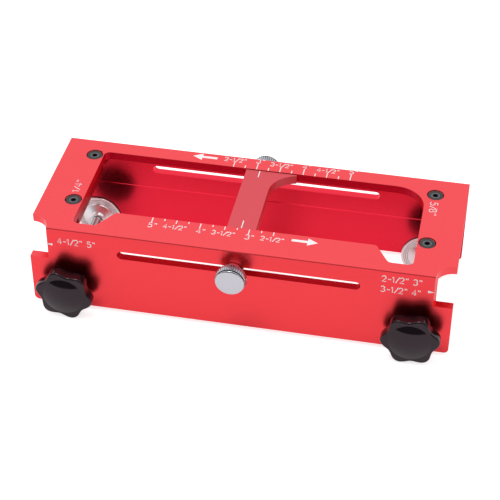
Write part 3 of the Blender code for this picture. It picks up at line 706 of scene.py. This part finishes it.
# From the middle of the face to the foot of the collar, as (radius, height over the wall) in mm.
thumb_head = [
    (0, 10.3), (5.6, 10.3), (7.2, 10.28), (7.42, 10.2), (7.5, 10.05), (7.5, 9.9), (6.0, 9.9), (5.9, 9.55),
    (6.0, 9.25), (7.7, 9.2), (7.95, 9.12), (8, 9.0), (8, 7.3), (8, 5.4), (7.95, 5.15), (7.75, 4.9),
    (7.5, 4.8), (5.1, 4.8), (5, 4.7), (5, 0.5), (4.8, 0.3), (2.1, 0.3), (2.0, 0.2),
]
thumb_shank = [(2.0, 0.2 - 0.1 * i) for i in range(1, 136)]
thumb_profile = thumb_head + thumb_shank + [(1.6, THREAD_END), (0, THREAD_END)]
for name, side in (("front", -1), ("back", 1)):
    low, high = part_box(f"thumb_screw_{name}")
    axis = (low + high) / 2
    blank = lathe(f"thumb_{name}", thumb_profile, THUMB_TEETH * 4)
    knurled = grown(
        "knurled_blank", blank, knurl_tree, teeth=THUMB_TEETH, past_radius=7.65 * MM, depth=0.6 * MM,
        finish=bright_nickel,
    )
    thumb = grown(
        f"knurled_screw_{name}", knurled.data, thread_tree, pitch=0.7 * MM, depth=0.4 * MM,
        lower_end=-13.4 * MM, upper_end=0.05 * MM, finish=bright_nickel,
    )
    bpy.data.objects.remove(knurled, do_unlink=True)
    thumb.data.materials.append(groove_grime)
    thumb.data.materials.append(valley_painted_shade)
    for face in thumb.data.polygons:
        out = face.center.xy.length
        if GROOVE_FLOOR < face.center.z < GROOVE_TOP and out < GROOVE_REACH:
            face.material_index = 1
        elif KNURL_FOOT < face.center.z < KNURL_TOP and VALLEY_RADIUS < out < FLANK_RADIUS:
            face.material_index = 2
    stood(thumb.data, (axis.x, side * channel.dimensions.y / 2, axis.z), (0, side, 0))
    smooth(thumb, 40)
    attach(thumb, f"thumb_{name}")
    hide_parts(f"thumb_screw_{name}")


# Clamp studs: M6 threaded rods of zinc-plated steel, moulded into the knobs, with a neck and a
# ball turned on the far end.
STUD_RADIUS = 3.0
NECK_RADIUS = 1.9
BALL_LENGTH = 1.8
NECK_LENGTH = 1.8
THREAD_STEP = 0.125
stud_steel = metal(
    "zinc_steel", (0.68, 0.69, 0.70), (0.55, 0.56, 0.58), 0.16, 0.28, cloud=300, grain=2500, depth=0.003,
)
for name in ("left", "right"):
    low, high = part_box(f"clamp_stud_{name}")
    axis = (low + high) / 2
    knob_end = (front_face - low.y) / MM
    ball_end = (front_face - high.y) / MM
    shoulder = ball_end + BALL_LENGTH + NECK_LENGTH
    rod = [(0, knob_end), (STUD_RADIUS, knob_end)]
    steps = round((knob_end - shoulder) / THREAD_STEP)
    rod += [(STUD_RADIUS, knob_end - THREAD_STEP * i) for i in range(1, steps)]
    rod += [(STUD_RADIUS - 0.4, shoulder), (NECK_RADIUS, shoulder - 0.05)]
    rod += [(radius, ball_end + height) for radius, height in (
        (NECK_RADIUS, BALL_LENGTH), (2.3, 1.6), (2.55, 1.35), (2.6, 1.0), (2.5, 0.6), (2.1, 0.3), (1.4, 0.08),
        (0, 0),
    )]
    stud = grown(
        f"threaded_stud_{name}", lathe("rod", rod, 32), thread_tree, pitch=1.0 * MM, depth=0.6 * MM,
        lower_end=(shoulder + 0.5) * MM, upper_end=(knob_end - 0.3) * MM, finish=stud_steel,
    )
    stood(stud.data, (axis.x, front_face, axis.z), (0, -1, 0))
    smooth(stud, 50)
    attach(stud, f"clamp_{name}")
    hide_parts(f"clamp_stud_{name}")


# Clamp knobs: six-lobed star knobs moulded in glossy black plastic, with a domed face and a hub
# that stands off the wall.
def moulded_skin():
    """Faint waves and smears of a moulded plastic surface."""
    group = bpy.data.node_groups.new("moulded_skin", "ShaderNodeTree")
    sockets = group.interface
    sockets.new_socket("Place", in_out="INPUT", socket_type="NodeSocketVector")
    for name, value in (("Smoothest", 0.1), ("Roughest", 0.2), ("Smear scale", 60.0), ("Wave scale", 300.0)):
        made = sockets.new_socket(name, in_out="INPUT", socket_type="NodeSocketFloat")
        made.default_value = value
    sockets.new_socket("Roughness", in_out="OUTPUT", socket_type="NodeSocketFloat")
    sockets.new_socket("Height", in_out="OUTPUT", socket_type="NodeSocketFloat")
    nodes, links = group.nodes, group.links
    given = nodes.new("NodeGroupInput")
    out = nodes.new("NodeGroupOutput")
    smears = nodes.new("ShaderNodeTexNoise")
    waves = nodes.new("ShaderNodeTexNoise")
    waves.inputs["Detail"].default_value = 1
    rough = nodes.new("ShaderNodeMapRange")
    rough.inputs["From Min"].default_value = 0.35
    rough.inputs["From Max"].default_value = 0.65
    links.new(given.outputs["Place"], smears.inputs["Vector"])
    links.new(given.outputs["Place"], waves.inputs["Vector"])
    links.new(given.outputs["Smear scale"], smears.inputs["Scale"])
    links.new(given.outputs["Wave scale"], waves.inputs["Scale"])
    links.new(smears.outputs["Fac"], rough.inputs["Value"])
    links.new(given.outputs["Smoothest"], rough.inputs["To Min"])
    links.new(given.outputs["Roughest"], rough.inputs["To Max"])
    links.new(rough.outputs["Result"], out.inputs["Roughness"])
    links.new(waves.outputs["Fac"], out.inputs["Height"])
    return group


skin = moulded_skin()


def plastic(name, colour, smoothest, roughest, depth, sheen=(1, 1, 1)):
    """A moulded plastic or rubber."""
    made = bpy.data.materials.new(name)
    made.use_nodes = True
    nodes, links = made.node_tree.nodes, made.node_tree.links
    shader = nodes["Principled BSDF"]
    shader.inputs["Base Color"].default_value = (*colour, 1)
    shader.inputs["Specular IOR Level"].default_value = 0.44
    shader.inputs["Specular Tint"].default_value = (*sheen, 1)
    places = nodes.new("ShaderNodeTexCoord")
    surface = nodes.new("ShaderNodeGroup")
    surface.node_tree = skin
    surface.inputs["Smoothest"].default_value = smoothest
    surface.inputs["Roughest"].default_value = roughest
    bump = nodes.new("ShaderNodeBump")
    bump.inputs["Distance"].default_value = depth * MM
    bump.inputs["Strength"].default_value = 0.3
    links.new(places.outputs["Object"], surface.inputs["Place"])
    links.new(surface.outputs["Roughness"], shader.inputs["Roughness"])
    links.new(surface.outputs["Height"], bump.inputs["Height"])
    links.new(bump.outputs["Normal"], shader.inputs["Normal"])
    return made


KNOB_TIP = 15.26
KNOB_VALLEY = 12.8
KNOB_BACK = 3.7
KNOB_RIM = 9.8
KNOB_DOME = 2.3
KNOB_DOME_RADIUS = 11.0
KNOB_FALL = 0.06
KNOB_EDGE = 0.9
KNOB_HOLE = 3.15
KNOB_HOLE_END = 6.8
KNOB_SEGMENTS = 144


def knob_outline(angle):
    """The knob's radius in mm at an angle from a lobe."""
    return (KNOB_TIP + KNOB_VALLEY) / 2 + (KNOB_TIP - KNOB_VALLEY) / 2 * math.cos(6 * angle)


def face_height(radius):
    """The face's height over the wall in mm: a dome, with the lobes' tips falling from its foot."""
    if radius > KNOB_DOME_RADIUS:
        return KNOB_RIM - KNOB_FALL * (radius - KNOB_DOME_RADIUS)
    bend = (KNOB_DOME_RADIUS ** 2 + KNOB_DOME ** 2) / (2 * KNOB_DOME)
    return KNOB_RIM + KNOB_DOME - bend + math.sqrt(bend ** 2 - radius ** 2)


def star_knob(name, turn):
    """Rings from the hub at the back, round the star's edge, to the middle of the domed face."""
    work = bmesh.new()
    rings = []
    angles = [2 * math.pi * i / KNOB_SEGMENTS for i in range(KNOB_SEGMENTS)]

    def ring_at(radius_at, height_at):
        made = []
        for angle in angles:
            radius = radius_at(angle)
            made.append(work.verts.new(
                (radius * MM * math.cos(angle), radius * MM * math.sin(angle), height_at(radius) * MM)))
        rings.append(made)

    for radius, height in (
        (KNOB_HOLE, KNOB_HOLE_END), (KNOB_HOLE, 1.5), (6.2, 1.5), (6.5, 1.7), (6.5, KNOB_BACK),
    ):
        ring_at(lambda angle: radius, lambda reach: height)
    for inset, rise in ((0.9, 0), (0.45, 0.12), (0.12, 0.45), (0.0, 0.9)):
        ring_at(lambda angle: knob_outline(angle - turn) - inset, lambda reach: KNOB_BACK + rise)
    for step in range(7):
        bend = math.pi / 2 * step / 6
        inset = KNOB_EDGE - KNOB_EDGE * math.cos(bend)
        ring_at(
            lambda angle: knob_outline(angle - turn) - inset,
            lambda reach: face_height(reach + inset) - KNOB_EDGE + KNOB_EDGE * math.sin(bend),
        )
    for reach in (11.15, 11, 10.9, 10.5, 10, 9, 8, 7, 6, 5, 4, 3, 2, 1):
        ring_at(lambda angle: reach, face_height)
    for lower, upper in zip(rings, rings[1:]):
        for i in range(KNOB_SEGMENTS):
            j = (i + 1) % KNOB_SEGMENTS
            work.faces.new((lower[i], lower[j], upper[j], upper[i]))
    for open_ring, height in ((rings[0], KNOB_HOLE_END), (rings[-1], KNOB_RIM + KNOB_DOME)):
        tip = work.verts.new((0, 0, height * MM))
        for i in range(KNOB_SEGMENTS):
            work.faces.new((open_ring[i], open_ring[(i + 1) % KNOB_SEGMENTS], tip))
    bmesh.ops.recalc_face_normals(work, faces=work.faces)
    mesh = bpy.data.meshes.new(name)
    work.to_mesh(mesh)
    work.free()
    return mesh


# The pink tint of the knobs' shine and of their black is a painted reflection of the red channel round them.
black_plastic = plastic("black_plastic", (0.010, 0.006, 0.008), 0.05, 0.1, 0.01, sheen=(1.0, 0.76, 0.87))
for name, turn in (("left", -12.3), ("right", 6.0)):
    low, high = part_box(f"clamp_stud_{name}")
    axis = (low + high) / 2
    knob = put_in_scene(f"star_knob_{name}", star_knob("knob", math.radians(turn)), black_plastic)
    stood(knob.data, (axis.x, front_face, axis.z), (0, -1, 0))
    smooth(knob)
    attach(knob, f"clamp_{name}")
    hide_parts(f"clamp_knob_{name}")


# Clamp pads: round swivel pads turned from steel and zinc plated, snapped over the studs' balls.
# The tool left fine rings on the front, from the rim over the cone to the hub; their grooves are darkened as
# painted shade.
PAD_RIM = 0.7
RINGS_START = 9.1
RINGS_END = 11.9
GROOVE_DEPTH = 0.2
GROOVE_PITCH = 0.9


def fine_rings(inner, outer):
    """Grooves that the turning tool left in the rim between two radii, as (radius, height) in mm."""
    count = round((outer - inner) / GROOVE_PITCH)
    starts = [inner + (outer - inner) * i / count for i in range(count)]
    return [(start + step, height) for start in starts for step, height in (
        (0, PAD_RIM), (0.12, PAD_RIM - GROOVE_DEPTH), (0.33, PAD_RIM - GROOVE_DEPTH), (0.45, PAD_RIM))]


turned_zinc = metal(
    "turned_zinc", (0.95, 0.92, 0.94), (0.84, 0.81, 0.83), 0.3, 0.38, cloud=120, grain=900, depth=0.002,
    share=0.03,
)
# A darker zinc for the grooves between the rings: painted shade.
groove_zinc = metal("groove_zinc", (0.66, 0.54, 0.56), (0.58, 0.46, 0.48), 0.3, 0.4)
pad_socket = [(0, 0.9), (2.9, 0.9), (2.9, 3.3), (2.2, 3.3), (2.2, 4.5)]
pad_hub = [(4.3, 4.5), (4.45, 4.45), (4.6, 4.2), (4.6, 2.7), (4.75, 2.55), (5.0, 2.45)]
pad_cone = [(8.0, 1.4), (8.3, 1.28), (8.4, 1.1), (8.4, 0.78), (8.5, PAD_RIM)]
pad_edge = [(12.4, PAD_RIM), (12.6, 0.65), (12.7, 0.5), (12.7, 0.2), (12.6, 0.05), (12.5, 0), (0, 0)]
pad_profile = pad_socket + pad_hub + pad_cone + fine_rings(RINGS_START, RINGS_END) + pad_edge
for name in ("left", "right"):
    low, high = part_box(f"clamp_pad_{name}")
    axis = (low + high) / 2
    pad = put_in_scene(f"swivel_pad_{name}", lathe("pad", pad_profile, 96), turned_zinc)
    pad.data.materials.append(groove_zinc)
    for face in pad.data.polygons:
        below_rim = PAD_RIM - 0.25 < face.center.z / MM < PAD_RIM - 0.01
        in_rings = RINGS_START < face.center.xy.length / MM < RINGS_END
        face.material_index = 1 if below_rim and in_rings else 0
    stood(pad.data, (axis.x, high.y, axis.z), (0, -1, 0))
    smooth(pad, 25)
    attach(pad, f"pad_{name}")
    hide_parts(f"clamp_pad_{name}")


# Rubber faces: discs of black rubber bonded to the pads' backs, so that the door isn't marked.
black_rubber = plastic("black_rubber", (0.016, 0.016, 0.016), 0.55, 0.7, 0.02)
rubber_profile = [(0, 1), (12.6, 1), (12.7, 0.9), (12.7, 0.35), (12.6, 0.1), (12.4, 0), (0, 0)]
for name in ("left", "right"):
    low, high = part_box(f"clamp_rubber_{name}")
    axis = (low + high) / 2
    rubber = put_in_scene(f"rubber_face_{name}", lathe("rubber", rubber_profile, 96), black_rubber)
    stood(rubber.data, (axis.x, high.y, axis.z), (0, -1, 0))
    smooth(rubber)
    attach(rubber, f"pad_{name}")
    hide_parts(f"clamp_rubber_{name}")


# The studio: a plain pale floor, a white surround, and one large soft lamp overhead. A low black
# hood before the jig, which only reflections see, keeps its shine as deep as its colour.
def paper():
    """Matt pale paper that shows white to the camera and keeps the shadow of what stands on it."""
    made = bpy.data.materials.new("pale_paper")
    made.use_nodes = True
    nodes, links = made.node_tree.nodes, made.node_tree.links
    nodes.clear()
    out = nodes.new("ShaderNodeOutputMaterial")
    matt = nodes.new("ShaderNodeBsdfDiffuse")
    matt.inputs["Color"].default_value = (0.82, 0.82, 0.82, 1)
    glow = nodes.new("ShaderNodeEmission")
    both = nodes.new("ShaderNodeAddShader")
    path = nodes.new("ShaderNodeLightPath")
    seen = nodes.new("ShaderNodeMath")
    seen.operation = "MAXIMUM"
    through = nodes.new("ShaderNodeMath")
    through.operation = "MULTIPLY"
    through.inputs[1].default_value = 0.7
    glossy = nodes.new("ShaderNodeMath")
    glossy.operation = "MULTIPLY_ADD"
    glossy.inputs[1].default_value = 0.22
    links.new(path.outputs["Is Camera Ray"], seen.inputs[0])
    links.new(path.outputs["Is Transmission Ray"], seen.inputs[1])
    links.new(seen.outputs[0], through.inputs[0])
    links.new(path.outputs["Is Glossy Ray"], glossy.inputs[0])
    links.new(through.outputs[0], glossy.inputs[2])
    links.new(glossy.outputs[0], glow.inputs["Strength"])
    links.new(matt.outputs[0], both.inputs[0])
    links.new(glow.outputs[0], both.inputs[1])
    links.new(both.outputs[0], out.inputs["Surface"])
    return made


floor_mesh = bpy.data.meshes.new("floor")
floor_mesh.from_pydata([(-4, -4, 0), (4, -4, 0), (4, 4, 0), (-4, 4, 0)], [], [(0, 1, 2, 3)])
floor = put_in_scene("floor", floor_mesh, paper())
floor.location.z = -0.0002

card_mesh = bpy.data.meshes.new("black_card")
card_mesh.from_pydata([
    (-0.4, -0.15, 0), (0.4, -0.15, 0), (0.4, -0.15, 0.06), (-0.4, -0.15, 0.06),
    (0.4, -0.07, 0.0535), (-0.4, -0.07, 0.0535),
], [], [(0, 1, 2, 3), (3, 2, 4, 5)])
black_card = bpy.data.materials.new("black_card")
black_card.use_nodes = True
black_card.node_tree.nodes["Principled BSDF"].inputs["Base Color"].default_value = (0.01, 0.01, 0.01, 1)
black_card.node_tree.nodes["Principled BSDF"].inputs["Roughness"].default_value = 0.9
card = put_in_scene("black_card", card_mesh, black_card)
card.visible_camera = False
card.visible_diffuse = False
card.visible_shadow = False
card.visible_transmission = False

world = bpy.data.worlds.new("white_surround")
world.use_nodes = True
nodes, links = world.node_tree.nodes, world.node_tree.links
surround = nodes["Background"]
surround.inputs["Color"].default_value = (1, 1, 1, 1)
path = nodes.new("ShaderNodeLightPath")
seen = nodes.new("ShaderNodeMath")
seen.operation = "MAXIMUM"
seen_through = nodes.new("ShaderNodeMath")
seen_through.operation = "MAXIMUM"
level = nodes.new("ShaderNodeMapRange")
level.inputs["To Min"].default_value = 0.7
level.inputs["To Max"].default_value = 1.0
links.new(path.outputs["Is Camera Ray"], seen.inputs[0])
links.new(path.outputs["Is Glossy Ray"], seen.inputs[1])
links.new(seen.outputs[0], seen_through.inputs[0])
links.new(path.outputs["Is Transmission Ray"], seen_through.inputs[1])
links.new(seen_through.outputs[0], level.inputs["Value"])
links.new(level.outputs["Result"], surround.inputs["Strength"])
bpy.context.scene.world = world

lamp_data = bpy.data.lights.new("overhead_softbox", "AREA")
lamp_data.shape = "RECTANGLE"
lamp_data.size = 0.32
lamp_data.size_y = 0.3
lamp_data.energy = 2.1
lamp = bpy.data.objects.new("overhead_softbox", lamp_data)
lamp.location = (-0.12, -0.1, 0.8)
lamp.rotation_euler = (Vector((0, 0, 0.02)) - lamp.location).to_track_quat("-Z", "Y").to_euler()
bpy.context.scene.collection.objects.link(lamp)

camera_data = bpy.data.cameras.new("camera")
camera_data.lens = 109.15
camera_data.sensor_width = 36
camera = bpy.data.objects.new("camera", camera_data)
bpy.context.scene.collection.objects.link(camera)
azimuth, elevation, roll = math.radians(11.184), math.radians(39.035), math.radians(0.114)
away = Vector((math.sin(azimuth), -math.cos(azimuth), 0)) * math.cos(elevation)
back = away + Vector((0, 0, math.sin(elevation)))
level_right = Vector((math.cos(azimuth), math.sin(azimuth), 0))
level_up = back.cross(level_right)
right = math.cos(roll) * level_right + math.sin(roll) * level_up
up = math.cos(roll) * level_up - math.sin(roll) * level_right
turn = Matrix((right, up, back)).transposed().to_4x4()
camera.matrix_world = Matrix.Translation((0.12105, -0.61865, 0.53163)) @ turn
bpy.context.scene.camera = camera
bpy.context.scene.view_settings.view_transform = "Standard"
